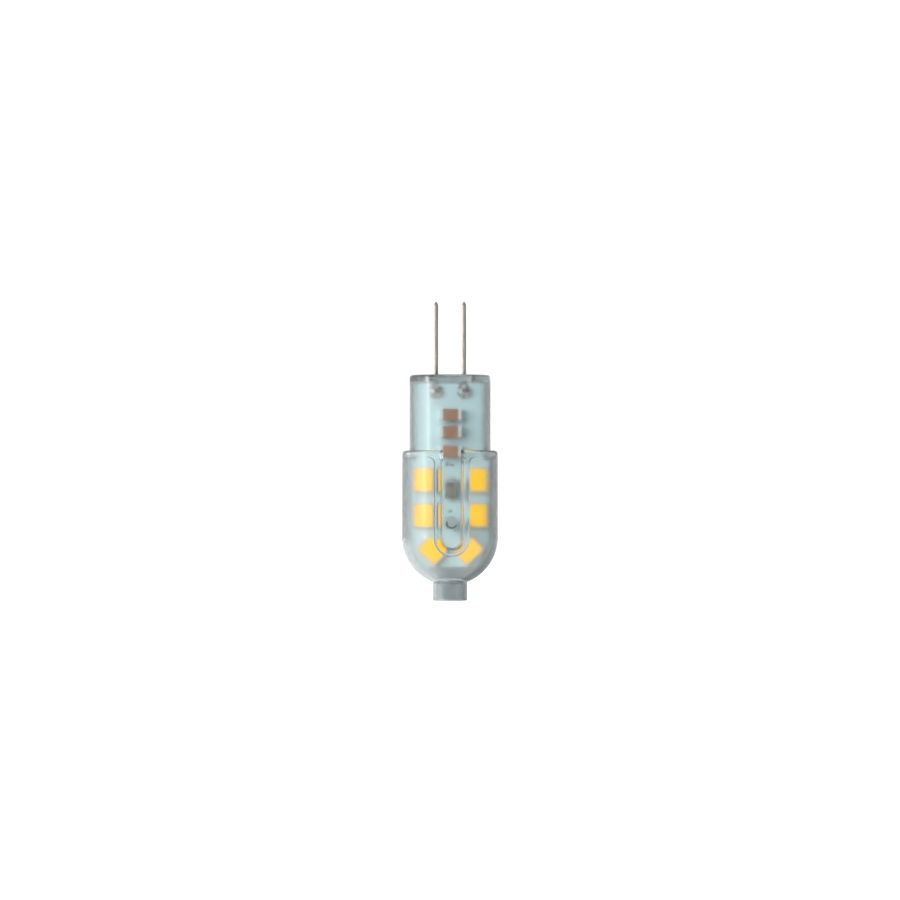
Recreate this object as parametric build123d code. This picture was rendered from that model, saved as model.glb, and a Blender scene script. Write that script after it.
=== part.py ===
"""Two-pin LED capsule bulb: a clear stepped shell in two halves around one upright circuit board.

The origin is the centre of the open end of the nub, +Z runs up to the pins, and the front is -Y.
The board stands in the XZ plane, and the two halves of the shell meet there.
"""

from build123d import *
import math
import os

# Contact pins
pin_pitch = 4.0
pin_diameter = 0.65
pin_outside_length = 10.45
pin_nose_length = 0.45
pin_nose_diameter = 0.32
pin_in_board = 2.05

# Clear shell, outside
nub_diameter = 4.93
nub_length = 2.17
capsule_diameter = 13.66
capsule_straight_length = 12.46
tube_diameter = 11.6
tube_length = 10.79
corner_radius = 0.5

# Clear shell, walls
shell_wall = 0.8
nub_wall = 0.43
top_wall = 1.0
shoulder_wall = 0.93
pin_hole_clearance = 0.05

# Valley in the front and the back of the capsule
valley_floor_width = 2.7
valley_draft = 28.0
valley_end_above_dome_centre = -0.1
valley_rim_radius = 0.6
rib_corner_radius = 1.0

# Locating peg of the front half and its socket on the back half
peg_diameter = 1.6
peg_above_dome_centre = 2.1
peg_engagement = 1.4
peg_clearance = 0.1
socket_wall = 0.7
socket_board_gap = 0.1

# Circuit board
board_thickness = 1.0
board_top_gap = 0.3
board_tube_gap = 0.2
board_capsule_gap = 0.5
board_step_gap = 0.5
board_end_below_dome_centre = 4.2
pin_slot_clearance = 0.15
pin_slot_end_gap = 0.1

# Solder joints of the pins
joint_radius = 1.1
joint_height = 0.75

# LED packages, as they stand with the long side upright
led_width = 2.8
led_length = 3.5
led_height = 0.75
led_corner_radius = 0.12
led_polarity_chamfer = 0.5
led_cup_rim = 0.22
led_cup_depth = 0.42
led_cup_draft = 25.0
led_cup_corner_radius = 0.3
led_fill_level = 0.03
terminal_thickness = 0.12
terminal_length = 1.1
terminal_side_margin = 0.35
terminal_reach = 0.12
led_row_offset = 3.84
led_rows_above_dome_centre = (8.26, 3.2)
led_pair_offset = 2.59
led_pair_below_dome_centre = 1.8
led_pair_lean = 48.0

# Ceramic capacitors on the front, from the top one down
capacitor_length = 3.2
capacitor_width = 1.65
capacitor_height = 1.35
capacitor_cap_length = 0.52
capacitor_cap_wall = 0.07
capacitor_edge_chamfer = 0.08
capacitors_below_top = (5.7, 8.15, 10.95)

# Moulded diode on the front, between the LED rows
diode_body = (1.65, 2.7, 1.1)
diode_lead_width = 0.6
diode_span = 3.7
diode_above_dome_centre = 6.95

# Bridge rectifier and driver chip on the back: width across the leads, length and height
rectifier_body = (3.9, 4.7, 1.5)
rectifier_span = 6.6
rectifier_lead_pitch = 2.5
rectifier_lead_count = 2
rectifier_lead_width = 0.6
driver_body = (1.6, 2.9, 1.1)
driver_span = 2.8
driver_lead_pitch = 0.95
driver_lead_count = 3
driver_lead_width = 0.38
chip_standoff = 0.12
chip_draft = 7.0
lead_thickness = 0.15
lead_foot = 0.4
mark_diameter = 0.45
mark_depth = 0.06

# Power inductor and sense resistor on the back
inductor_size = (4.0, 4.0, 1.8)
inductor_corner = 0.6
resistor_size = (2.0, 1.25, 0.5)
resistor_end_length = 0.4
resistor_end_wall = 0.03

# Gaps above, between and below the four back components, which take up the column's slack in this proportion
back_column_gaps = (0.35, 0.83, 0.58, 0.675, 0.525)

# Worked out from the sizes above
nub_radius = nub_diameter / 2
capsule_radius = capsule_diameter / 2
tube_radius = tube_diameter / 2
pin_radius = pin_diameter / 2
capsule_bore = capsule_radius - shell_wall
tube_bore = tube_radius - shell_wall
dome_centre_z = nub_length + capsule_radius
shoulder_z = dome_centre_z + capsule_straight_length
top_z = shoulder_z + tube_length
board_top_z = top_z - top_wall - board_top_gap
board_face = board_thickness / 2
peg_radius = peg_diameter / 2
peg_z = dome_centre_z + peg_above_dome_centre
socket_radius = peg_radius + peg_clearance + socket_wall


def at_radius(radius, offset):
    """Distance along the other axis at which a circle of this radius meets the offset."""
    return math.sqrt(radius**2 - offset**2)


def domed_cylinder(radius, top):
    """Upright cylinder whose lower end is half a sphere round the dome's centre."""
    outline = CenterArc((0, dome_centre_z), radius, 270, 90) + Polyline(
        (radius, dome_centre_z),
        (radius, top),
        (0, top),
        (0, dome_centre_z - radius),
    )
    return revolve(Plane.XZ * make_face(outline), Axis.Z)


def u_outline(half_width, top):
    """U-shaped outline, open upwards, with the valley's round end."""
    end_z = dome_centre_z + valley_end_above_dome_centre
    straight = Pos(0, (end_z + top) / 2) * Rectangle(2 * half_width, top - end_z)
    return straight + Pos(0, end_z) * Circle(half_width)


def front_and_back(block):
    """The same block in the front and in the back."""
    return block + block.rotate(Axis.Z, 180)


def valleys():
    """The two cuts that make the valleys: they widen outwards and end on the tube's radius."""
    slope = math.tan(math.radians(valley_draft))
    start_half_width = valley_floor_width / 2 - shell_wall * slope
    outline = u_outline(start_half_width, top_z)
    block = extrude(Plane.XZ.offset(tube_bore) * outline, capsule_radius, taper=-valley_draft)
    return front_and_back(block - domed_cylinder(tube_radius, 2 * top_z))


def ribs():
    """The two ribs that the valleys make inside, which round into the underside of the shoulder."""
    half_width = valley_floor_width / 2 + shell_wall / math.cos(math.radians(valley_draft))
    underside_z = shoulder_z - shoulder_wall
    wide_half = half_width + 2 * rib_corner_radius
    above = Pos(0, (underside_z + top_z) / 2) * Rectangle(2 * wide_half, top_z - underside_z)
    outline = u_outline(half_width, top_z) + above
    corners = outline.vertices().filter_by(
        lambda corner: abs(corner.Y - underside_z) < 0.01 and abs(corner.X) < half_width + rib_corner_radius
    )
    outline = fillet(corners, rib_corner_radius)
    block = extrude(Plane.XZ * outline, capsule_radius)
    return front_and_back(block - domed_cylinder(tube_bore, 2 * top_z))


def valley_rims(body):
    """The edges where the valleys' walls meet the outside of the capsule."""
    rims = []
    for edge in body.edges():
        middle = edge @ 0.5
        drop = min(middle.Z - dome_centre_z, 0)
        from_axis = math.sqrt(middle.X**2 + middle.Y**2 + drop**2)
        across_dome = edge.geom_type == GeomType.CIRCLE
        if abs(from_axis - capsule_radius) < 0.01 and not across_dome:
            rims.append(edge)
    return rims


def shell_outside():
    """Outer form of the closed shell with its nub, valleys and rounded edges."""
    tall = domed_cylinder(capsule_radius, top_z) - valleys()
    tall = fillet(valley_rims(tall), valley_rim_radius)
    rounded = domed_cylinder(capsule_radius, shoulder_z)
    rounded = fillet(rounded.edges().sort_by(Axis.Z)[-1], corner_radius)
    tube = domed_cylinder(tube_radius, top_z)
    tube = fillet(tube.edges().sort_by(Axis.Z)[-1], corner_radius)
    nub = Cylinder(nub_radius, dome_centre_z, align=(Align.CENTER, Align.CENTER, Align.MIN))
    return (tall & rounded) + tube + nub


def shell_cavity():
    """Room inside the shell: wide in the capsule between the ribs, narrow in the tube."""
    capsule_room = domed_cylinder(capsule_bore, shoulder_z - shoulder_wall) - ribs()
    return capsule_room + domed_cylinder(tube_bore, top_z - top_wall)


def nub_bore():
    """Open end of the nub, up to the outside of the dome's bottom wall."""
    bore = Cylinder(nub_radius - nub_wall, dome_centre_z, align=(Align.CENTER, Align.CENTER, Align.MIN))
    return bore - Pos(0, 0, dome_centre_z) * Sphere(capsule_radius)


def pin_positions():
    """X of the left pin and of the right pin."""
    return {"left": -pin_pitch / 2, "right": pin_pitch / 2}


def shell_half(closed_shell, side):
    """The half of the closed shell on one side of the board's plane: side is -1 for the front."""
    reach = 2 * capsule_diameter
    half_space = Pos(0, side * reach / 2, top_z / 2) * Box(reach, reach, 2 * top_z)
    return closed_shell & half_space


def peg_and_socket():
    """The front half's peg and the back half's socket, both standing on their valley's floor."""
    root = tube_radius - shell_wall / 2
    peg_length = root + board_face + peg_engagement
    peg = Plane.XZ.offset(root) * Pos(0, peg_z) * extrude(Circle(peg_radius), -peg_length)
    socket_length = root - board_face - socket_board_gap
    socket = Plane.XZ.offset(-root) * Pos(0, peg_z) * extrude(Circle(socket_radius), socket_length)
    bore_depth = peg_engagement + peg_clearance - socket_board_gap
    bore_start = Plane.XZ.offset(-board_face - socket_board_gap)
    bore = bore_start * Pos(0, peg_z) * extrude(Circle(peg_radius + peg_clearance), -bore_depth)
    return peg, socket - bore


def clear_shell():
    """The two halves, with the holes that the pins leave through."""
    closed = shell_outside() - shell_cavity() - nub_bore()
    for x in pin_positions().values():
        closed = closed - Pos(x, 0, top_z) * Cylinder(pin_radius + pin_hole_clearance, 3 * top_wall)
    peg, socket = peg_and_socket()
    return shell_half(closed, -1) + peg, shell_half(closed, 1) + socket


def contact_pin(x):
    """Straight round pin with a tapered, rounded nose, let into the board's slot.

    The round face outside the shell, which the holder's contact takes, is a face of its own.
    """
    start_z = board_top_z - pin_in_board
    nose_z = top_z + pin_outside_length
    nose_radius = pin_nose_diameter / 2
    nose = CenterArc((0, nose_z - nose_radius), nose_radius, 0, 90)
    sides = Polyline(
        (nose_radius, nose_z - nose_radius),
        (pin_radius, nose_z - pin_nose_length),
        (pin_radius, top_z),
        (pin_radius, start_z),
        (0, start_z),
        (0, nose_z),
    )
    outline = make_face([*sides.edges(), *nose.edges()])
    return Pos(x, 0, 0) * revolve(Plane.XZ * outline, Axis.Z, clean=False)


def pin_slot(x):
    """Slot in the top edge of the board, in which one pin lies."""
    depth = pin_in_board + pin_slot_end_gap
    width = pin_diameter + 2 * pin_slot_clearance
    return Pos(x, 0, board_top_z) * Box(width, 2 * board_thickness, 2 * depth)


def circuit_board():
    """Board that follows the shell's inside: narrow in the tube, wide and round-ended in the capsule."""
    tube_half = at_radius(tube_bore, board_face) - board_tube_gap
    capsule_half = at_radius(capsule_bore, board_face) - board_capsule_gap
    step_z = shoulder_z - shoulder_wall - board_step_gap
    end_z = dome_centre_z - board_end_below_dome_centre
    wide = Pos(0, (end_z + step_z) / 2) * Rectangle(2 * capsule_half, step_z - end_z)
    round_end = Pos(0, dome_centre_z) * Circle(capsule_half)
    above_centre = Pos(0, dome_centre_z + step_z) * Rectangle(2 * capsule_half, 2 * step_z)
    narrow = Pos(0, (step_z + board_top_z) / 2) * Rectangle(2 * tube_half, board_top_z - step_z)
    outline = (wide & (round_end + above_centre)) + narrow
    board = extrude(Plane.XZ * outline, board_thickness / 2, both=True)
    for x in pin_positions().values():
        board = board - pin_slot(x)
    return board - Plane.XZ * Pos(0, peg_z) * Cylinder(peg_radius + peg_clearance, 2 * board_thickness)


def solder_joint(x, board, pin):
    """Solder that fills the slot round one pin and stands up as a smooth cap on both faces."""
    cap_top = board_face + joint_height
    cap_arc_end = (joint_radius, -board_face)
    outline = RadiusArc((0, -cap_top), cap_arc_end, -cap_radius())
    outline += Line(cap_arc_end, (joint_radius, board_face))
    outline += RadiusArc((joint_radius, board_face), (0, cap_top), -cap_radius())
    outline += Line((0, cap_top), (0, -cap_top))
    lens = revolve(make_face(outline), Axis.Y)
    joint_z = board_top_z - joint_radius
    return Pos(x, 0, joint_z) * lens - board - pin


def cap_radius():
    """Radius of the sphere that a solder cap is part of."""
    return (joint_radius**2 + joint_height**2) / (2 * joint_height)


def led_package():
    """One LED on its back in the XY plane: moulded frame with a cup, fill in the cup, two terminals."""
    outer = Rectangle(led_width, led_length)
    outer = fillet(outer.vertices(), led_corner_radius)
    frame_height = led_height - terminal_thickness
    frame = Pos(0, 0, terminal_thickness) * extrude(outer, frame_height)
    corner = Pos(led_width / 2, led_length / 2, led_height) * Rot(0, 0, 45)
    frame = frame - corner * Box(led_polarity_chamfer, 2 * led_polarity_chamfer, frame_height)
    mouth = Rectangle(led_width - 2 * led_cup_rim, led_length - 2 * led_cup_rim)
    mouth = fillet(mouth.vertices(), led_cup_corner_radius)
    cup = Pos(0, 0, led_height) * extrude(mouth, -led_cup_depth, taper=led_cup_draft)
    frame = frame - cup
    fill_top = led_height - led_fill_level
    fill = cup & Pos(0, 0, fill_top) * Box(
        led_width, led_length, led_height, align=(Align.CENTER, Align.CENTER, Align.MAX)
    )
    terminals = end_terminals(led_width - 2 * terminal_side_margin, led_length)
    return {"frame": frame, "phosphor": fill, "terminals": terminals}


def end_terminals(width, length):
    """Two flat terminals under the ends of a package, reaching out a little past it along Y."""
    middle = length / 2 + terminal_reach - terminal_length / 2
    pad = Box(width, terminal_length, terminal_thickness)
    return Compound([Pos(0, end * middle, terminal_thickness / 2) * pad for end in (-1, 1)])


def led_places():
    """X, Z and lean of the six LEDs on one face: two rows of two, then the leaning pair."""
    places = []
    for above in led_rows_above_dome_centre:
        for side in (-1, 1):
            places.append((side * led_row_offset, dome_centre_z + above, 0))
    for side in (-1, 1):
        pair_z = dome_centre_z - led_pair_below_dome_centre
        places.append((side * led_pair_offset, pair_z, -side * led_pair_lean))
    return places


def on_face(face, x, z, lean, piece):
    """Puts a piece that is drawn lying in the XY plane on the front or the back of the board."""
    placed = Plane.XZ.offset(board_face) * Pos(x, z) * Rot(0, 0, lean) * piece
    return placed if face == "front" else placed.rotate(Axis.Z, 180)


def on_face_each(face, z, solids):
    """Puts the solids of one component on the centre line of a face."""
    return [on_face(face, 0, z, 0, solid) for solid in solids]


def ceramic_capacitor():
    """One chip capacitor lying along X: ceramic block and the two metal caps on its ends."""
    whole = Box(capacitor_length, capacitor_width, capacitor_height)
    whole = chamfer(whole.edges(), capacitor_edge_chamfer)
    middle = Box(capacitor_length - 2 * capacitor_cap_length, capacitor_width, capacitor_height)
    return capped_block(whole, middle, capacitor_cap_wall, capacitor_height)


def chip_resistor():
    """One chip resistor lying along X: ceramic plate and its two metal ends."""
    length, width, height = resistor_size
    middle = Box(length - 2 * resistor_end_length, width, height)
    return capped_block(Box(length, width, height), middle, resistor_end_wall, height)


def capped_block(whole, middle, wall, height):
    """Splits a chip into the block, which shows in its middle, and the metal that wraps its ends."""
    size = whole.bounding_box().size
    inside = Box(size.X - 2 * wall, size.Y - 2 * wall, size.Z - 2 * wall)
    block = (whole & middle) + inside
    lift = Pos(0, 0, height / 2)
    return lift * block, lift * (whole - block)


def bent_leads(body_half, span, lead_height, pitch, count, width):
    """Leads in a row on both sides, bent down from the body's side to a flat foot on the board."""
    foot_start = span / 2 - lead_foot
    upper = lead_height + lead_thickness / 2
    lower = lead_height - lead_thickness / 2
    outline = Polyline(
        (body_half, upper),
        (foot_start + lead_thickness, upper),
        (foot_start + lead_thickness, lead_thickness),
        (span / 2, lead_thickness),
        (span / 2, 0),
        (foot_start, 0),
        (foot_start, lower),
        (body_half, lower),
        close=True,
    )
    lead = extrude(Plane.XZ * make_face(outline), width / 2, both=True)
    leads = []
    for place in range(count):
        y = (place - (count - 1) / 2) * pitch
        for turn in (0, 180):
            leads.append(Pos(0, y, 0) * lead.rotate(Axis.Z, turn))
    return Compound(leads)


def moulded_body(size):
    """Moulded chip body: its sides lean in above and below the line where the leads come out."""
    width, length, height = size
    middle = (chip_standoff + height) / 2
    rise = height - middle
    belt = Pos(0, 0, middle) * Rectangle(width, length)
    return extrude(belt, rise, taper=chip_draft) + extrude(belt, -rise, taper=chip_draft)


def marked_chip(size, span, pitch, count, lead_width):
    """Moulded chip with a shallow round mark at its first lead, and its leads."""
    width, length, height = size
    inset = mark_diameter
    mark = Pos(-width / 2 + inset, length / 2 - inset, height) * Cylinder(mark_diameter / 2, 2 * mark_depth)
    middle = (chip_standoff + height) / 2
    leads = bent_leads(width / 2, span, middle, pitch, count, lead_width)
    return moulded_body(size) - mark, leads


def moulded_diode():
    """Diode with one flat lead at each end, lying along Y."""
    width, length, height = diode_body
    middle = (chip_standoff + height) / 2
    leads = bent_leads(length / 2, diode_span, middle, 0, 1, diode_lead_width)
    return moulded_body(diode_body), leads.rotate(Axis.Z, 90)


def power_inductor():
    """Moulded square inductor with cut corners, on two flat terminals along its sides."""
    width, length, height = inductor_size
    block = Pos(0, 0, terminal_thickness) * extrude(Rectangle(width, length), height - terminal_thickness)
    block = chamfer(block.edges().filter_by(Axis.Z), inductor_corner)
    return block, end_terminals(width - 2 * inductor_corner, length)


def back_column():
    """Height of each back component's middle, spread between the solder joints and the socket."""
    lengths = {
        "rectifier": rectifier_body[1],
        "inductor": inductor_size[1] + 2 * terminal_reach,
        "driver": driver_body[1],
        "resistor": resistor_size[1],
    }
    edge = board_top_z - 2 * joint_radius
    slack = edge - (peg_z + socket_radius) - sum(lengths.values())
    heights = {}
    for gap, (name, length) in zip(back_column_gaps, lengths.items()):
        edge -= gap * slack / sum(back_column_gaps)
        heights[name] = edge - length / 2
        edge -= length
    return heights


def all_pieces():
    """Every piece by its node name."""
    pieces = {}
    pieces["shell_front"], pieces["shell_back"] = clear_shell()
    board = circuit_board()
    pieces["circuit_board"] = board
    for name, x in pin_positions().items():
        pin = contact_pin(x)
        pieces[f"contact_pin_{name}"] = pin
        pieces[f"solder_joint_{name}"] = solder_joint(x, board, pin)
    package = led_package()
    for face in ("front", "back"):
        for number, (x, z, lean) in enumerate(led_places(), start=1):
            for part, solid in package.items():
                pieces[f"led_{part}_{face}_{number}"] = on_face(face, x, z, lean, solid)
    for number, below in enumerate(capacitors_below_top, start=1):
        block, caps = on_face_each("front", top_z - below, ceramic_capacitor())
        pieces[f"capacitor_body_{number}"] = block
        pieces[f"capacitor_caps_{number}"] = caps
    diode_z = dome_centre_z + diode_above_dome_centre
    pieces["diode_body"], pieces["diode_leads"] = on_face_each("front", diode_z, moulded_diode())
    heights = back_column()
    rectifier = marked_chip(
        rectifier_body, rectifier_span, rectifier_lead_pitch, rectifier_lead_count, rectifier_lead_width
    )
    pieces["rectifier_body"], pieces["rectifier_leads"] = on_face_each("back", heights["rectifier"], rectifier)
    driver = marked_chip(driver_body, driver_span, driver_lead_pitch, driver_lead_count, driver_lead_width)
    pieces["driver_body"], pieces["driver_leads"] = on_face_each("back", heights["driver"], driver)
    inductor = power_inductor()
    pieces["inductor_body"], pieces["inductor_terminals"] = on_face_each("back", heights["inductor"], inductor)
    pieces["resistor_body"], pieces["resistor_ends"] = on_face_each("back", heights["resistor"], chip_resistor())
    return pieces


def export_all():
    """Writes one file for each piece."""
    os.makedirs("parts", exist_ok=True)
    for name, piece in all_pieces().items():
        export_step(piece, f"parts/{name}.step")


export_all()
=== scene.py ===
import math

import bmesh
import bpy
import numpy as np
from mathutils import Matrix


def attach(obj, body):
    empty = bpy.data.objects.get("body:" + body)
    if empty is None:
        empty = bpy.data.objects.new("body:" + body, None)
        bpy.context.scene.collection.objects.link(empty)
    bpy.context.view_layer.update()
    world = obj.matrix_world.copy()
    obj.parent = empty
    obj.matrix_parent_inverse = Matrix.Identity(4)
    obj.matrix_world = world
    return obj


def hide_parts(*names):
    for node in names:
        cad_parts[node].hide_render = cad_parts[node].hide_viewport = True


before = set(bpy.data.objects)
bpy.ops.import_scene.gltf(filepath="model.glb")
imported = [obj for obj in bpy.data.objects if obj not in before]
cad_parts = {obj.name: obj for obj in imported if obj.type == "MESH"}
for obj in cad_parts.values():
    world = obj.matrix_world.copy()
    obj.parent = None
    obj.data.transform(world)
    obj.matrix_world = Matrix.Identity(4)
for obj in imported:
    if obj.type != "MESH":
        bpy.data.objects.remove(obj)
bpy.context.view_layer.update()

scene = bpy.context.scene
scene.view_settings.view_transform = "Standard"

# The camera: a long lens at the height of the bulb's middle, level, and a little to
# the left of straight on, so the whole bulb stands upright with no vanishing lines.
lens_mm, sensor_mm = 200.0, 36.0
camera_distance = 0.7144
camera_azimuth = math.radians(-2.7)
aim = np.array([0.0, 0.0, 0.0215])
back = np.array([math.sin(camera_azimuth), -math.cos(camera_azimuth), 0.0])
camera_data = bpy.data.cameras.new("camera")
camera_data.lens, camera_data.sensor_width = lens_mm, sensor_mm
camera_data.clip_start, camera_data.clip_end = 0.01, 20.0
camera = bpy.data.objects.new("camera", camera_data)
camera.location = aim + camera_distance * back
camera.rotation_euler = (math.radians(90.0), 0.0, camera_azimuth)
scene.collection.objects.link(camera)
scene.camera = camera


# The clear shell: two moulded polycarbonate halves, bonded where they meet. Each has a
# domed capsule with a U-shaped valley, a shoulder, a narrower tube and half the nub. The
# walls keep nearly one thickness, so a rib stands inside behind each valley.
MM = 0.001
# Heights above the nub's open end, then radii and the wall, all in mm.
top_z, cap_z, shoulder_z, underside_z = 32.25, 31.25, 21.46, 20.53
dome_centre_z, valley_end_z = 9.0, 8.9
capsule_radius, tube_radius, shell_wall = 6.83, 5.8, 0.8
capsule_bore, tube_bore = capsule_radius - shell_wall, tube_radius - shell_wall
nub_outer, nub_inner = 2.465, 2.035
# Roundings: of the top and the shoulder, of the nub's lip, and of the rib along its edge,
# at its root and where it runs into the shoulder's underside.
corner_radius, nub_edge = 0.5, 0.06
rib_edge, rib_root, rib_corner = 0.3, 0.2, 1.0
# The valley from its middle outwards: half its floor, the wall's lean and the round mouth.
# Then half the rib behind it.
floor_half, valley_draft = 1.275, math.radians(28)
mouth_radius, mouth_centre = 0.6, np.array([2.070, 5.876])
rib_half = 2.256
# The two halves stand this far apart, so that they don't share a face.
parting_gap = 0.024

# How finely the grids are cut. Levels go over the valley's floor, up its wall, round its
# mouth and on to the parting line, by shares with two more beside the mouth. Rows go down
# the tube, the capsule, the rib and the nub. Turns go round the valley's end, a quarter of
# an edge, and the rib's flare.
floor_levels, wall_levels, mouth_levels, outer_levels, beside_mouth = 7, 4, 13, 46, (0.004, 0.012)
outer_shares = np.unique(np.r_[np.linspace(0, 1, outer_levels), beside_mouth])[1:]
tube_rows, capsule_rows, rib_rows, nub_rows = 12, 14, 12, 5
end_turns = np.linspace(0, math.pi, 97)
quarter, flare_quarter = np.linspace(0, math.pi / 2, 9), np.linspace(0, math.pi / 2, 11)
# Rings across the flat faces and the poles, as radii in mm.
top_rings, ceiling_rings = (0.0, 1.6, 3.4, 5.24), (0.0, 1.6, 3.4)
nub_roof_rings, pole_rings = (1.95, 1.5, 1.0, 0.5, 0.0), (2.44, 1.9, 1.3, 0.6, 0.0)
underside_shares = (0.0, 0.04, 0.35, 0.65, 0.96)
# A row this far from an edge keeps the edge crisp. The nub's is closer.
crisp, nub_crisp, dome_crisp = 0.06, 0.03, 0.05


def eased(start, end, count, close):
    """Even values from start to end, and one more that close to each of the two."""
    way = np.sign(end - start)
    values = np.r_[np.linspace(start, end, count), start + way * close, end - way * close]
    return np.unique(values)[:: int(way)]


def on_sphere(x, z, radius):
    """Y of the front of a sphere or cylinder: below the dome's centre it is the sphere."""
    drop = np.minimum(z - dome_centre_z, 0)
    return -np.sqrt(np.maximum(radius**2 - x**2 - drop**2, 0))


def dome_z(r, radius):
    """Height of the dome of that radius, at the distance r from the bulb's axis."""
    return dome_centre_z - math.sqrt(radius**2 - r**2)


def level_line(angle, radius, z):
    """Points at one height: x is r sin a and y is -r cos a, with a = 0 at the front."""
    return np.stack([radius * np.sin(angle), -radius * np.cos(angle), np.full_like(angle, z)], 1)


def carried(line, rings):
    """The line's own angles on each (radius, z), as rows that go on from the line."""
    angle = np.arctan2(line[:, 0], -line[:, 1])
    return np.array([level_line(angle, radius, z) for radius, z in rings])


def rounding(radius, z, out, up, turns):
    """(radius, z) round an edge: from the two given, out (1 - cos a) and up (1 - sin a)."""
    return [(radius + out * (1 - math.cos(a)), z + up * (1 - math.sin(a))) for a in turns]


def both_sides(lines):
    """The right half and its mirror image, as one grid from the left to the right."""
    left = lines[:, :0:-1] * [-1, 1, 1]
    return np.concatenate([left, lines], 1)


def straight_rows(rows, radii):
    """Right half of the upright part, one line of points for each row from the top down.

    A row is (z, limit, half_widths). From the middle to the mouth's rim, each level has its
    half-width and its radius, which the limit caps. Beyond the rim the levels spread round
    to the parting line, on the row's own radius.
    """
    lines = []
    for z, limit, half_widths in rows:
        drop = max(dome_centre_z - z, 0)
        outer = math.sqrt(min(radii[-1], limit) ** 2 - drop**2)
        rim_angle = math.asin(min(half_widths[-1] / outer, 1))
        beyond = rim_angle + (math.pi / 2 - rim_angle) * outer_shares
        valley_y = on_sphere(half_widths, z, np.minimum(radii, limit))
        x = np.r_[half_widths, outer * np.sin(beyond)]
        y = np.r_[valley_y, -outer * np.cos(beyond)]
        lines.append(np.stack([x, y, np.full_like(x, z)], 1))
    return np.array(lines)


def fan(half_widths, radii):
    """The dome round the valley's U end, and its last line, which rings the pole.

    The levels nest round the end, then open out to the parting line and to the ring. Up to
    the rim a point is (w cos t, end - w sin t), with w the half-width and t the turn. Beyond
    it, longitude and latitude go by the shares from the rim's to the outer line's.
    """
    turn = end_turns[:, None]
    x = half_widths * np.cos(turn)
    z = valley_end_z - half_widths * np.sin(turn)
    inside = np.stack([x, on_sphere(x, z, radii), z], 2)
    rim, radius = inside[:, -1], radii[-1]
    longitude = np.arctan2(rim[:, 0], -rim[:, 1])
    latitude = np.arcsin((dome_centre_z - rim[:, 2]) / radius)

    # The outer line goes down the parting line, round the ring and up again.
    first = len(end_turns) // 4
    corner = end_turns[first]
    climb = np.clip(np.minimum(end_turns, math.pi - end_turns) / corner, 0, 1)
    round_ring = np.clip((end_turns - corner) / (math.pi - 2 * corner), 0, 1)
    ring_latitude = math.acos(nub_outer / radius)
    outer_longitude = math.pi / 2 - math.pi * round_ring
    outer_latitude = latitude[0] + (ring_latitude - latitude[0]) * climb

    lon = longitude[:, None] + (outer_longitude - longitude)[:, None] * outer_shares
    lat = latitude[:, None] + (outer_latitude - latitude)[:, None] * outer_shares
    x = radius * np.cos(lat) * np.sin(lon)
    y = -radius * np.cos(lat) * np.cos(lon)
    beyond = np.stack([x, y, dome_centre_z - radius * np.sin(lat)], 2)
    grid = np.concatenate([inside, beyond], 1)
    return grid, grid[first : 3 * first + 1, -1]


def valley_levels():
    """Half-widths and radii across the valley: along its floor, up its wall, round its mouth."""
    floor = np.linspace(0, floor_half, floor_levels)
    last_turn = math.atan2(mouth_centre[1], mouth_centre[0])
    turn = np.linspace(math.pi - valley_draft, last_turn, mouth_levels)
    mouth = mouth_centre + mouth_radius * np.stack([np.cos(turn), np.sin(turn)], 1)
    foot = np.array([floor_half, math.sqrt(tube_radius**2 - floor_half**2)])
    wall = foot + (mouth[0] - foot) * np.linspace(0, 1, wall_levels)[1:-1, None]
    slope = np.concatenate([wall, mouth])
    half_widths = np.r_[floor, slope[:, 0]]
    radii = np.r_[np.full(floor_levels, tube_radius), np.hypot(slope[:, 0], slope[:, 1])]
    return half_widths, radii


def rib_levels(z):
    """Half-widths across the rib at a height: along its floor, round its edge, up its root.

    Close below the shoulder's underside the rib widens along a quarter of a circle.
    """
    rise = min(max(z - (underside_z - rib_corner), 0), rib_corner)
    half = rib_half + rib_corner - math.sqrt(rib_corner**2 - rise**2)
    floor = np.linspace(0, half - rib_edge, floor_levels)
    edge = half - rib_edge * (1 - np.sin(quarter[1:]))
    return np.r_[floor, edge, half + rib_root * (1 - np.cos(quarter[::2]))]


def quads(grid, start):
    """Index of the four corners of every cell of a grid of points."""
    rows, columns = grid.shape[:2]
    index = start + np.arange(rows * columns).reshape(rows, columns)
    cells = [index[:-1, :-1], index[1:, :-1], index[1:, 1:], index[:-1, 1:]]
    return np.stack(cells, 2).reshape(-1, 4)


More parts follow.
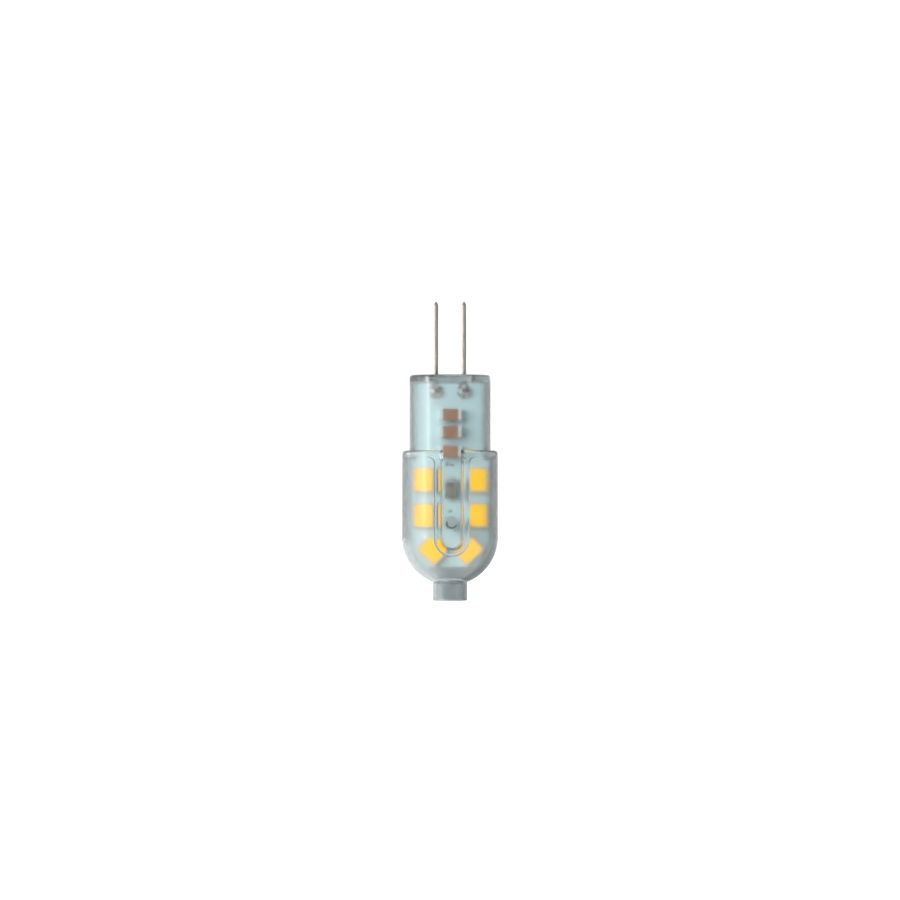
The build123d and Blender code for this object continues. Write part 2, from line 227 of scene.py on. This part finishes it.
def outer_grids():
    """Grids of the outside: the flat top with the upright part, the dome, and the nub."""
    half_widths, radii = valley_levels()
    tube = eased(top_z - corner_radius, shoulder_z, tube_rows, crisp)
    rows = [(z, tube_radius) for z in tube]
    # The shoulder: out over its flat, then round its edge and down the capsule.
    flat_end = capsule_radius - corner_radius - 0.04
    rows += [(shoulder_z, r) for r in (tube_radius + 0.05, tube_radius + 0.25, flat_end)]
    for a in quarter:
        z = shoulder_z - corner_radius * (1 - math.cos(a))
        rows.append((z, capsule_radius - corner_radius * (1 - math.sin(a))))
    side = eased(shoulder_z - corner_radius, dome_centre_z, capsule_rows, crisp)[1:]
    rows += [(z, capsule_radius) for z in (*side, dome_centre_z - dome_crisp, valley_end_z)]
    upright = straight_rows([(z, limit, half_widths) for z, limit in rows], radii)
    top = [(r, top_z) for r in top_rings]
    top += rounding(tube_radius, top_z, -corner_radius, -corner_radius, quarter[:0:-1])
    upright = np.concatenate([carried(upright[0], top), upright])

    # The nub from the dome down its outside, round its lip, up its bore and over its roof.
    dome, ring = fan(half_widths, radii)
    wall_top, bore_top = dome_z(nub_outer, capsule_radius), dome_z(nub_inner, capsule_radius)
    nub = [(nub_outer, z) for z in eased(wall_top, nub_edge, nub_rows, nub_crisp)]
    nub += rounding(nub_outer, 0, -nub_edge, nub_edge, quarter[2:-1:2])
    nub += [(nub_outer - nub_edge, 0.0), (nub_inner + nub_edge, 0.0)]
    nub += rounding(nub_inner, 0, nub_edge, nub_edge, quarter[-2:1:-2])
    nub += [(nub_inner, z) for z in eased(nub_edge, bore_top, nub_rows, nub_crisp)]
    nub += [(r, dome_z(r, capsule_radius)) for r in nub_roof_rings]
    return [both_sides(upright), dome, carried(ring, nub)]


def inner_grids():
    """Grids of the inside: the tube with the shoulder and the capsule, then the dome."""
    edge = tube_bore + rib_edge * (1 - np.cos(quarter[1:]))
    root = capsule_bore - rib_root * (1 - np.sin(quarter[::2]))
    radii = np.r_[np.full(floor_levels, tube_bore), edge, root]
    rib_top = underside_z - rib_corner
    flare = rib_top + rib_corner * np.sin(flare_quarter)
    side = eased(rib_top, dome_centre_z, rib_rows, crisp)[1:]
    heights = np.r_[flare[::-1], side, dome_centre_z - dome_crisp, valley_end_z]
    capsule = straight_rows([(z, capsule_bore, rib_levels(z)) for z in heights], radii)

    # Up in the tube, the levels beyond the rib's floor are spread round as they lie along the
    # capsule's top line. The underside goes from the tube's line to the capsule's by shares.
    line = capsule[0]
    angle, radius = np.arctan2(line[:, 0], -line[:, 1]), np.hypot(line[:, 0], line[:, 1])
    last = floor_levels - 1
    travelled = np.r_[0, np.cumsum(np.hypot(*np.diff(line[last:, :2], axis=0).T))]
    tube_angle = angle.copy()
    tube_angle[last:] = angle[last] + (math.pi / 2 - angle[last]) * travelled / travelled[-1]
    underside = []
    for share in underside_shares:
        a = tube_angle + (angle - tube_angle) * share
        r = tube_bore + (radius - tube_bore) * share
        underside.append(level_line(a, r, underside_z))
    tube_heights = eased(cap_z, underside_z, tube_rows, crisp)[:-1]
    tube = [level_line(tube_angle, tube_bore, z) for z in tube_heights]
    ceiling = carried(tube[0], [(r, cap_z) for r in (*ceiling_rings, tube_bore - crisp)])
    upright = np.concatenate([ceiling, tube, underside, capsule])

    dome, ring = fan(rib_levels(valley_end_z), radii)
    pole = [(r, dome_z(r, capsule_bore)) for r in pole_rings]
    return [both_sides(upright), dome, carried(ring, pole)]


def round_bar(radius, start, end, height, bore=0.0, bore_end=0.0):
    """Closed bar along Y, bored or not: its profile of (radius, y) turned round the axis."""
    soft, sides = 0.06, 48
    profile = [(0, start), (radius, start), (radius, end - soft), (radius - soft, end)]
    if bore:
        profile += [(bore + soft, end), (bore, end - soft), (bore, bore_end), (0, bore_end)]
    else:
        profile += [(0, end)]
    r, y = np.array(profile).T[:, :, None]
    turn = np.linspace(0, 2 * math.pi, sides + 1)
    return np.stack([r * np.cos(turn), y + 0 * turn, height + r * np.sin(turn)], 2)


def merge(bm):
    """Joins the points where grids meet and drops the edges and faces that shrink to nothing."""
    same_point, no_length = 0.0002 * MM, 0.0001 * MM
    bmesh.ops.remove_doubles(bm, verts=bm.verts, dist=same_point)
    bmesh.ops.dissolve_degenerate(bm, edges=bm.edges, dist=no_length)


def shell_half(name, node, bar, facing):
    """One half as a closed mesh: its grids, the parting face between them, and the bar.

    The grids are the front's. Facing is -1 for the front and 1 for the back, where the
    grids and the bar are turned half round.
    """
    crease = math.radians(32)
    turned = np.array([-facing, -facing, 1.0]) * MM
    points, cells, count = [], [], 0
    for grid in outer_grids() + inner_grids():
        points.append(grid.reshape(-1, 3))
        cells.append(quads(grid, count))
        count += len(points[-1])
    points = np.concatenate(points)
    points[:, 1] = np.minimum(points[:, 1], -parting_gap / 2)
    mesh = bpy.data.meshes.new(name)
    mesh.from_pydata((points * turned).tolist(), [], np.concatenate(cells).tolist())
    bm = bmesh.new()
    bm.from_mesh(mesh)
    merge(bm)
    parting = [edge for edge in bm.edges if edge.is_boundary]
    bmesh.ops.triangle_fill(bm, edges=parting, use_beauty=True, use_dissolve=False)
    bar_mesh = bpy.data.meshes.new(name + "_bar")
    bar_mesh.from_pydata((bar.reshape(-1, 3) * turned).tolist(), [], quads(bar, 0).tolist())
    bm.from_mesh(bar_mesh)
    bpy.data.meshes.remove(bar_mesh)
    merge(bm)
    bmesh.ops.recalc_face_normals(bm, faces=bm.faces)
    bm.to_mesh(mesh)
    bm.free()
    mesh.shade_smooth()
    mesh.set_sharp_from_angle(angle=crease)
    half = bpy.data.objects.new(name, mesh)
    scene.collection.objects.link(half)
    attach(half, "root")
    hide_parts(node)
    return half


def new_material(name, **values):
    """A material with its Principled shader's sockets set; gives the tree and the shader."""
    material = bpy.data.materials.new(name)
    material.use_nodes = True
    tree = material.node_tree
    shader = tree.nodes["Principled BSDF"]
    for socket, value in values.items():
        shader.inputs[socket.replace("_", " ")].default_value = value
    return material, tree, shader


def grain(tree, size_mm, detail=2.0):
    """Noise on Object coordinates, from 0 to 1, with grains of that size in X, Y and Z."""
    place = tree.nodes.new("ShaderNodeTexCoord")
    scale = tree.nodes.new("ShaderNodeMapping")
    scale.inputs["Scale"].default_value = [1.0 / (size * MM) for size in size_mm]
    tree.links.new(place.outputs["Object"], scale.inputs["Vector"])
    noise = tree.nodes.new("ShaderNodeTexNoise")
    noise.inputs["Scale"].default_value = 1.0
    noise.inputs["Detail"].default_value = detail
    tree.links.new(scale.outputs["Vector"], noise.inputs["Vector"])
    return noise.outputs["Fac"]


def math_node(tree, operation, *values):
    """One Math node on the given numbers or outputs."""
    node = tree.nodes.new("ShaderNodeMath")
    node.operation = operation
    for entry, value in zip(node.inputs, values):
        if isinstance(value, (int, float)):
            entry.default_value = value
        else:
            tree.links.new(value, entry)
    return node.outputs[0]


def coordinates(tree):
    """X, Y and Z of the Object coordinates, to be read by those names."""
    place = tree.nodes.new("ShaderNodeTexCoord")
    split = tree.nodes.new("ShaderNodeSeparateXYZ")
    tree.links.new(place.outputs["Object"], split.inputs[0])
    return split.outputs


def near(tree, value, centre_mm, reach_mm):
    """1 within that reach of the centre, else 0."""
    away = math_node(tree, "ABSOLUTE", math_node(tree, "SUBTRACT", value, centre_mm * MM))
    return math_node(tree, "LESS_THAN", away, reach_mm * MM)


def between(tree, factor, low, high, socket):
    """Links the factor's middle half, spread from low to high, into a number's socket."""
    span = tree.nodes.new("ShaderNodeMapRange")
    for name, value in {"From Min": 0.25, "From Max": 0.75, "To Min": low, "To Max": high}.items():
        span.inputs[name].default_value = value
    tree.links.new(factor, span.inputs["Value"])
    tree.links.new(span.outputs["Result"], socket)


def blend(tree, factor, dark, light, socket=None):
    """A colour from dark to light by the factor's middle half, linked into a socket if given."""
    mix = tree.nodes.new("ShaderNodeMix")
    mix.data_type = "RGBA"
    between(tree, factor, 0.0, 1.0, mix.inputs["Factor"])
    for side, colour in (("A", dark), ("B", light)):
        entry = [each for each in mix.inputs if each.name == side and each.type == "RGBA"][0]
        if isinstance(colour, tuple):
            entry.default_value = (*colour, 1.0)
        else:
            tree.links.new(colour, entry)
    result = [each for each in mix.outputs if each.type == "RGBA"][0]
    if socket is not None:
        tree.links.new(result, socket)
    return result


def relief(tree, factor, height_mm, shader):
    """Presses the factor into the surface as a relief of that height."""
    bump = tree.nodes.new("ShaderNodeBump")
    bump.inputs["Strength"].default_value = 1.0
    bump.inputs["Distance"].default_value = height_mm * MM
    tree.links.new(factor, bump.inputs["Height"])
    tree.links.new(bump.outputs["Normal"], shader.inputs["Normal"])


# The plastic is glossy, faintly grey, and a little wavy where it flowed in the mould. To the
# lamps it is a plain pale filter, because the light bent by clear walls is too grainy.
clear_plastic, tree, shader = new_material(
    "clear_polycarbonate", IOR=1.58, Transmission_Weight=1.0
)
flow = grain(tree, (2.5, 2.5, 5.0))
blend(tree, flow, (0.53, 0.59, 0.60), (0.60, 0.65, 0.66), shader.inputs["Base Color"])
between(tree, flow, 0.16, 0.22, shader.inputs["Roughness"])
relief(tree, grain(tree, (1.2, 1.2, 1.0)), 0.010, shader)
path = tree.nodes.new("ShaderNodeLightPath")
filter_glass = tree.nodes.new("ShaderNodeBsdfTransparent")
filter_glass.inputs["Color"].default_value = (0.80, 0.85, 0.86, 1.0)
lamp_mix = tree.nodes.new("ShaderNodeMixShader")
tree.links.new(path.outputs["Is Shadow Ray"], lamp_mix.inputs["Fac"])
tree.links.new(shader.outputs["BSDF"], lamp_mix.inputs[1])
tree.links.new(filter_glass.outputs["BSDF"], lamp_mix.inputs[2])
tree.links.new(lamp_mix.outputs["Shader"], tree.nodes["Material Output"].inputs["Surface"])

# The locating peg behind the front valley, and the socket on the back half that it enters.
# Each is moulded with its half, and its mesh starts just clear of the curved wall there, so
# that no clear surfaces cross.
peg_z, peg_radius, socket_radius, socket_bore = 11.1, 0.8, 1.6, 0.9
peg_root_y, peg_tip_y = 0.08 - tube_bore, 1.9
socket_root_y, socket_end_y, socket_floor_y = 0.28 - tube_bore, -0.6, -2.1
peg = round_bar(peg_radius, peg_root_y, peg_tip_y, peg_z)
socket = round_bar(
    socket_radius, socket_root_y, socket_end_y, peg_z, socket_bore, socket_floor_y
)
halves = [
    shell_half("clear_half_front", "shell_front", peg, -1),
    shell_half("clear_half_back", "shell_back", socket, 1),
]

# The peg is frosted. The dark arc low at its left is painted shade, standing in for the light that
# its edge bends away there. The arc is the part of a ring below a line that falls to the right by
# 0.4.
arc_radius, arc_half, arc_lean = 0.66, 0.12, 0.4
peg_frost_painted_shade, tree, shader = new_material(
    "frosted_peg_painted_shade", Roughness=0.45, IOR=1.58, Transmission_Weight=0.35
)
place = coordinates(tree)
rise = math_node(tree, "SUBTRACT", place["Z"], peg_z * MM)
squares = [math_node(tree, "MULTIPLY", each, each) for each in (place["X"], rise)]
to_axis = math_node(tree, "SQRT", math_node(tree, "ADD", *squares))
ring = near(tree, to_axis, arc_radius, arc_half)
above_line = math_node(tree, "ADD", math_node(tree, "MULTIPLY", place["X"], arc_lean), rise)
arc = math_node(tree, "MULTIPLY", ring, math_node(tree, "LESS_THAN", above_line, 0.0))
haze = blend(tree, grain(tree, (0.4, 0.4, 0.4)), (0.80, 0.82, 0.82), (0.92, 0.92, 0.92))
# Painted shade: the arc darkens the peg's frosted colour.
blend(tree, arc, haze, (0.10, 0.12, 0.12), shader.inputs["Base Color"])
# The peg's faces are those close to its axis, from inside the wall to just past its tip.
aside, off_wall, past_tip = 0.05, 0.06, 0.1
for half in halves:
    half.data.materials.append(clear_plastic)
    half.data.materials.append(peg_frost_painted_shade)
    middle = np.empty(len(half.data.polygons) * 3, np.float32)
    half.data.polygons.foreach_get("center", middle)
    x, y, z = middle.reshape(-1, 3).T / MM
    of_peg = np.hypot(x, z - peg_z) < peg_radius + aside
    of_peg &= (y > -tube_bore + off_wall) & (y < peg_tip_y + past_tip)
    half.data.polygons.foreach_set("material_index", of_peg.astype(np.int32))


# The circuit board: 1 mm glass-fibre board under a glossy white solder mask, routed to
# the shell's inside, so its edges are bare fibre. Three small part marks are printed on it.
def dress(material, *names):
    """Gives CAD nodes one finish on every one of their material slots."""
    for name in names:
        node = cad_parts[name]
        if not node.data.materials:
            node.data.materials.append(material)
        for slot in node.material_slots:
            slot.material = material


# Each mark is a dash: its centre's x and z, then half its width and half its height, in mm.
part_marks = ((-0.42, 19.45, 0.16, 0.26), (0.28, 19.35, 0.3, 0.13), (0.0, 12.75, 0.26, 0.13))
face_y = 0.49
board_white, tree, shader = new_material("white_solder_mask", Roughness=0.32, Coat_Weight=0.3)
place = coordinates(tree)
weave = grain(tree, (0.5, 0.5, 0.5))
mask = blend(tree, weave, (0.73, 0.86, 0.87), (0.79, 0.91, 0.92))
marks = 0.0
for mark_x, mark_z, half_x, half_z in part_marks:
    wide, tall = near(tree, place["X"], mark_x, half_x), near(tree, place["Z"], mark_z, half_z)
    marks = math_node(tree, "MAXIMUM", marks, math_node(tree, "MULTIPLY", wide, tall))
printed = blend(tree, marks, mask, (0.06, 0.08, 0.09))
fibre = blend(tree, grain(tree, (0.6, 0.04, 0.6)), (0.52, 0.50, 0.36), (0.66, 0.65, 0.50))
depth = math_node(tree, "ABSOLUTE", place["Y"])
on_face = math_node(tree, "GREATER_THAN", depth, face_y * MM)
blend(tree, on_face, fibre, printed, shader.inputs["Base Color"])
relief(tree, weave, 0.003, shader)
dress(board_white, "circuit_board")


# The contact pins: straight drawn copper-alloy wire, nickel plated, with a tapered nose.
# Drawing leaves fine lines along the pin, and the nose is darker where the plating is thin.
nose_z = 42.2
pin_nickel, tree, shader = new_material("nickel_plated_wire", Metallic=1.0)
drawn = grain(tree, (0.05, 0.05, 4.0))
plating = blend(tree, drawn, (0.44, 0.40, 0.36), (0.60, 0.56, 0.52))
at_nose = math_node(tree, "GREATER_THAN", coordinates(tree)["Z"], nose_z * MM)
blend(tree, at_nose, plating, (0.34, 0.32, 0.29), shader.inputs["Base Color"])
between(tree, drawn, 0.22, 0.32, shader.inputs["Roughness"])
relief(tree, drawn, 0.002, shader)
dress(pin_nickel, "contact_pin_left", "contact_pin_right")


# The solder joints: one blob on each pin, through both faces of the board. The solder is
# bright, with a slightly frosted skin that is duller and browner in patches.
bright_solder, tree, shader = new_material("bright_solder", Metallic=1.0)
skin = grain(tree, (0.35, 0.35, 0.35), 3.0)
blend(tree, skin, (0.60, 0.52, 0.46), (0.96, 0.93, 0.90), shader.inputs["Base Color"])
between(tree, skin, 0.2, 0.36, shader.inputs["Roughness"])
relief(tree, skin, 0.02, shader)
dress(bright_solder, "solder_joint_left", "solder_joint_right")


# The LED packages, six on each face: a moulded white frame and yellow silicone with phosphor
# grains. The frame's peach colour and faint glow are painted light, standing in for the fill's
# light on it. The fill has a painted glow of its own, though the LEDs are unlit.
places = [f"{face}_{number}" for face in ("front", "back") for number in range(1, 7)]
# Painted light: the white frame is coloured peach and glows faintly, as if lit by the fill.
led_frame_painted_glow, tree, shader = new_material(
    "led_moulding_painted_glow", Roughness=0.4, Emission_Color=(1.0, 0.5, 0.22, 1.0), Emission_Strength=0.12
)
moulding = grain(tree, (0.3, 0.3, 0.3))
blend(tree, moulding, (0.98, 0.62, 0.38), (1.0, 0.72, 0.48), shader.inputs["Base Color"])
dress(led_frame_painted_glow, *[f"led_frame_{place}" for place in places])

# Painted glow: the fill emits a yellow light though it is no lamp.
led_fill_painted_glow, tree, shader = new_material(
    "led_fill_with_painted_glow", Roughness=0.5, Specular_IOR_Level=0.15, Emission_Strength=0.95
)
phosphor = grain(tree, (0.06, 0.06, 0.06), 3.0)
blend(tree, phosphor, (0.95, 0.44, 0.0), (1.0, 0.58, 0.004), shader.inputs["Base Color"])
# The painted glow's colour, varied by the phosphor grains.
blend(tree, phosphor, (1.0, 0.44, 0.0), (1.0, 0.54, 0.0), shader.inputs["Emission Color"])
relief(tree, phosphor, 0.004, shader)
dress(led_fill_painted_glow, *[f"led_phosphor_{place}" for place in places])


# The tinned parts: the capacitors' end caps, and the leads, terminals and ends of the other
# parts. They are plated copper with a satin, faintly rippled skin.
tinned, tree, shader = new_material("tinned_copper", Metallic=0.2)
ripple = grain(tree, (0.12, 0.12, 0.12), 3.0)
blend(tree, ripple, (0.86, 0.83, 0.76), (0.98, 0.96, 0.90), shader.inputs["Base Color"])
between(tree, ripple, 0.25, 0.42, shader.inputs["Roughness"])
dress(
    tinned,
    *[f"led_terminals_{place}" for place in places],
    *[f"capacitor_caps_{number}" for number in (1, 2, 3)],
    "diode_leads", "rectifier_leads", "driver_leads", "inductor_terminals", "resistor_ends",
)


# The ceramic capacitors: three small blocks of fired brown ceramic, stacked in layers and
# cut to size, matt and with a fine speckle.
brown_ceramic, tree, shader = new_material("brown_ceramic", Roughness=0.5)
speckle = grain(tree, (0.08, 0.08, 0.08), 3.0)
blend(tree, speckle, (0.40, 0.17, 0.10), (0.58, 0.27, 0.17), shader.inputs["Base Color"])
dress(brown_ceramic, *[f"capacitor_body_{number}" for number in (1, 2, 3)])


# The diode: a small moulded body between its two flat leads, a mottled grey-brown, with a
# pale printed band at its upper end.
band_z, band_half = 17.0, 0.14
diode_brown, tree, shader = new_material("diode_moulding", Roughness=0.35)
cloud = grain(tree, (0.7, 0.7, 0.9))
moulding = blend(tree, cloud, (0.09, 0.06, 0.04), (0.48, 0.41, 0.32))
band = near(tree, coordinates(tree)["Z"], band_z, band_half)
blend(tree, band, moulding, (0.6, 0.58, 0.52), shader.inputs["Base Color"])
dress(diode_brown, "diode_body")


# The chips on the back, a bridge rectifier and a driver: moulded black epoxy with the
# matt grain of its mould and a dimple at pin one.
black_epoxy, tree, shader = new_material("black_epoxy")
mould = grain(tree, (0.07, 0.07, 0.07), 3.0)
blend(tree, mould, (0.035, 0.035, 0.04), (0.075, 0.075, 0.08), shader.inputs["Base Color"])
between(tree, mould, 0.45, 0.65, shader.inputs["Roughness"])
relief(tree, mould, 0.004, shader)
dress(black_epoxy, "rectifier_body", "driver_body")


# The power inductor: a block of pressed ferrite powder round its coil, dark grey and matt,
# with a coarse grain.
ferrite, tree, shader = new_material("ferrite", Roughness=0.62)
pressed = grain(tree, (0.14, 0.14, 0.14), 3.0)
blend(tree, pressed, (0.11, 0.11, 0.12), (0.21, 0.21, 0.22), shader.inputs["Base Color"])
relief(tree, pressed, 0.006, shader)
dress(ferrite, "inductor_body")


# The sense resistor: a ceramic chip, pale round its sides, with a dark film that is printed
# and glazed on its top.
film_y = 0.92
resistor_film, tree, shader = new_material("resistor_film", Roughness=0.22)
glaze = blend(tree, grain(tree, (0.2, 0.2, 0.2)), (0.03, 0.03, 0.035), (0.07, 0.07, 0.08))
on_top = math_node(tree, "GREATER_THAN", coordinates(tree)["Y"], film_y * MM)
blend(tree, on_top, (0.78, 0.77, 0.74), glaze, shader.inputs["Base Color"])
dress(resistor_film, "resistor_body")


# The stage: a pale floor and a white backdrop. What the camera, gloss and glass see of
# them is white, by their own glow, and they still take the lamps and the bulb's shadow.
def stage_material(name, grey, glow):
    """Paper of that grey under the lamps, plus a white glow for camera, gloss and glass."""
    material, tree, shader = new_material(
        name,
        Base_Color=(grey, grey, grey, 1.0),
        Roughness=1.0,
        Specular_IOR_Level=0.0,
        Emission_Color=(1.0, 1.0, 1.0, 1.0),
    )
    path = tree.nodes.new("ShaderNodeLightPath")
    seen = math_node(tree, "MAXIMUM", path.outputs["Is Camera Ray"], path.outputs["Is Glossy Ray"])
    seen = math_node(tree, "MAXIMUM", seen, path.outputs["Is Transmission Ray"])
    tree.links.new(math_node(tree, "MULTIPLY", seen, glow), shader.inputs["Emission Strength"])
    return material


def sheet(name, corners, material):
    """A flat piece of the stage from its four corners."""
    mesh = bpy.data.meshes.new(name)
    mesh.from_pydata(corners, [], [(0, 1, 2, 3)])
    mesh.materials.append(material)
    piece = bpy.data.objects.new(name, mesh)
    scene.collection.objects.link(piece)
    return piece


def standing(left, right, bottom, top):
    """Corners of an upright sheet: its two foot points as (x, y), and its edges' heights."""
    return [(*left, bottom), (*right, bottom), (*right, top), (*left, top)]


far, wall_y = 1.5, 0.30
floor_paper = stage_material("floor_paper", 0.35, 0.92)
wall_paper = stage_material("backdrop_paper", 0.15, 0.97)
sheet("floor", [(-far, -far, 0), (far, -far, 0), (far, far, 0), (-far, far, 0)], floor_paper)
sheet("backdrop", standing((-far, wall_y), (far, wall_y), 0, far), wall_paper)

# Grey cards that only gloss and glass see, for the clear walls' darker edges. Three stand
# behind the bulb: at the right, at the left, and a strip low in the middle. One lies just
# above the floor, under the bulb's right half and behind it, for the dome and the nub.
card_grey, tree, shader = new_material(
    "grey_card", Base_Color=(0.40, 0.40, 0.40, 1.0), Roughness=1.0
)
card_top, strip_top, lift = 0.4, 0.02, 0.00002
for name, corners in (
    ("card_right", standing((0.07, 0.24), (0.42, 0.12), 0, card_top)),
    ("card_floor", [(0.0, 0.0, lift), (0.5, -0.1, lift), (0.5, 0.27, lift), (-0.03, 0.27, lift)]),
    ("card_left", standing((-0.30, 0.20), (-0.10, 0.26), 0, card_top)),
    ("card_low", standing((-0.12, 0.27), (0.12, 0.27), 0, strip_top)),
):
    card = sheet(name, corners, card_grey)
    card.visible_camera = card.visible_shadow = card.visible_diffuse = False

# The room round it is dim, but white to the camera, so every side has a white background.
world = bpy.data.worlds.new("studio")
scene.world = world
world.use_nodes = True
tree = world.node_tree
room = tree.nodes["Background"]
room.inputs["Color"].default_value = (0.95, 0.98, 1.0, 1.0)
room.inputs["Strength"].default_value = 0.22
white = tree.nodes.new("ShaderNodeBackground")
white.inputs["Color"].default_value = (1.0, 1.0, 1.0, 1.0)
white.inputs["Strength"].default_value = 1.0
path = tree.nodes.new("ShaderNodeLightPath")
mix = tree.nodes.new("ShaderNodeMixShader")
tree.links.new(path.outputs["Is Camera Ray"], mix.inputs["Fac"])
tree.links.new(room.outputs["Background"], mix.inputs[1])
tree.links.new(white.outputs["Background"], mix.inputs[2])
tree.links.new(mix.outputs["Shader"], tree.nodes["World Output"].inputs["Surface"])


# The lamps: a tall softbox at the left, as three nested ones whose reflection fades to its
# sides, two more there that light the bulb without a reflection, of which one still shows as
# a veil in the clear wall, a small one behind the bulb and one softbox overhead.
def softbox(name, azimuth, elevation, distance, width, height, watts, hidden=()):
    """An area lamp aimed at the bulb's middle, azimuth from the front towards the right."""
    a, e = math.radians(azimuth), math.radians(elevation)
    out = np.array([math.sin(a) * math.cos(e), -math.cos(a) * math.cos(e), math.sin(e)])
    lamp = bpy.data.lights.new(name, "AREA")
    lamp.shape, lamp.size, lamp.size_y, lamp.energy = "RECTANGLE", width, height, watts
    box = bpy.data.objects.new(name, lamp)
    box.location = aim + distance * out
    box.rotation_euler = (math.radians(90) - e, 0.0, a)
    for rays in hidden:
        setattr(box, "visible_" + rays, False)
    scene.collection.objects.link(box)


softbox("key_wide", -80, 6, 0.55, 0.44, 0.60, 1.1)
softbox("key_middle", -74, 6, 0.54, 0.22, 0.60, 0.45)
softbox("key_core", -68, 6, 0.53, 0.07, 0.60, 0.40)
softbox("soft_left", -45, 15, 0.60, 0.50, 0.50, 7.2, ["glossy", "transmission"])
softbox("veil_left", -50, 15, 0.60, 0.50, 0.50, 1.6, ["glossy"])
softbox("soft_behind", 155, 25, 0.24, 0.12, 0.12, 0.35, ["glossy", "camera", "transmission"])
softbox("overhead", 0, 80, 1.2, 0.8, 0.8, 5.0)
